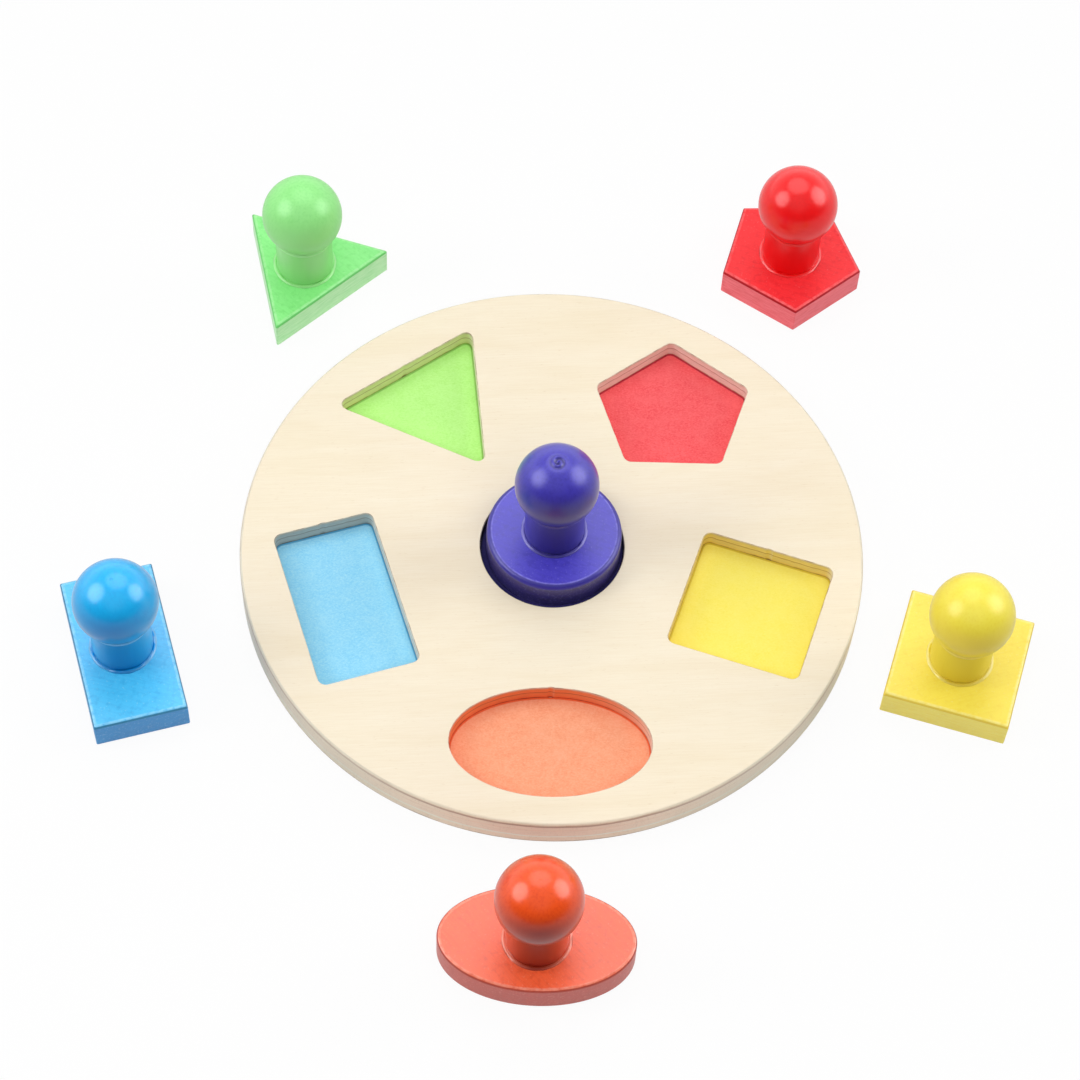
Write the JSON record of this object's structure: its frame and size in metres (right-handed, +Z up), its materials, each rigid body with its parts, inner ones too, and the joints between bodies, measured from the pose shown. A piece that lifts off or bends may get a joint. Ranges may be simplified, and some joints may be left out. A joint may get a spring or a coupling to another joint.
{
  "type": "peg puzzle",
  "caption": "Round plywood board with shaped recesses, one-colour blocks with turned ball knobs that drop into them: triangle, pentagon, square, oblong, oval and circle",
  "frame": {"origin": "the middle of the board's flat underside, where it rests on the floor", "axes": "+Z up through the board's thickness, +Y towards the back of the picture, +X to its right; the oval recess lies on -Y"},
  "size_m": [0.3555, 0.3385, 0.0672],
  "materials": {
    "plywood": "sanded and sealed, pale, with fine grain",
    "beech": "bare, fluted",
    "green_floor_paint": "thin matt paint that shows the grain",
    "red_floor_paint": "thin matt paint that shows the grain",
    "yellow_floor_paint": "thin matt paint that shows the grain",
    "blue_floor_paint": "thin matt paint that shows the grain",
    "orange_floor_paint": "thin matt paint that shows the grain",
    "purple_floor_paint": "thin matt paint that shows the grain",
    "green_painted_wood": "satin paint on the block, gloss on the knob",
    "red_painted_wood": "satin paint on the block, gloss on the knob",
    "yellow_painted_wood": "satin paint on the block, gloss on the knob",
    "blue_painted_wood": "satin paint on the block, gloss on the knob",
    "orange_painted_wood": "satin paint on the block, gloss on the knob",
    "purple_painted_wood": "satin paint on the block, gloss on the knob"
  },
  "bodies": {
    "board": {"base_plate": "plywood", "top_plate": "plywood", "triangle_floor": "green_floor_paint", "pentagon_floor": "red_floor_paint", "square_floor": "yellow_floor_paint", "rectangle_floor": "blue_floor_paint", "ellipse_floor": "orange_floor_paint", "circle_floor": "purple_floor_paint"},
    "triangle_peg": {"triangle_block": "green_painted_wood", "triangle_knob": "green_painted_wood", "triangle_dowel": "beech"},
    "pentagon_peg": {"pentagon_block": "red_painted_wood", "pentagon_knob": "red_painted_wood", "pentagon_dowel": "beech"},
    "square_peg": {"square_block": "yellow_painted_wood", "square_knob": "yellow_painted_wood", "square_dowel": "beech"},
    "rectangle_peg": {"rectangle_block": "blue_painted_wood", "rectangle_knob": "blue_painted_wood", "rectangle_dowel": "beech"},
    "ellipse_peg": {"ellipse_block": "orange_painted_wood", "ellipse_knob": "orange_painted_wood", "ellipse_dowel": "beech"},
    "circle_peg": {"circle_block": "purple_painted_wood", "circle_knob": "purple_painted_wood", "circle_dowel": "beech"}
  },
  "joints": [
    {"name": "triangle_lift", "type": "slide", "parent": "board", "child": "triangle_peg", "axis": [0, 0, 1], "range_m": [0, 0.07]},
    {"name": "pentagon_lift", "type": "slide", "parent": "board", "child": "pentagon_peg", "axis": [0, 0, 1], "range_m": [0, 0.07]},
    {"name": "square_lift", "type": "slide", "parent": "board", "child": "square_peg", "axis": [0, 0, 1], "range_m": [0, 0.07]},
    {"name": "rectangle_lift", "type": "slide", "parent": "board", "child": "rectangle_peg", "axis": [0, 0, 1], "range_m": [0, 0.07]},
    {"name": "ellipse_lift", "type": "slide", "parent": "board", "child": "ellipse_peg", "axis": [0, 0, 1], "range_m": [0, 0.07]},
    {"name": "circle_lift", "type": "slide", "parent": "board", "child": "circle_peg", "axis": [0, 0, 1], "range_m": [0, 0.07]}
  ]
}
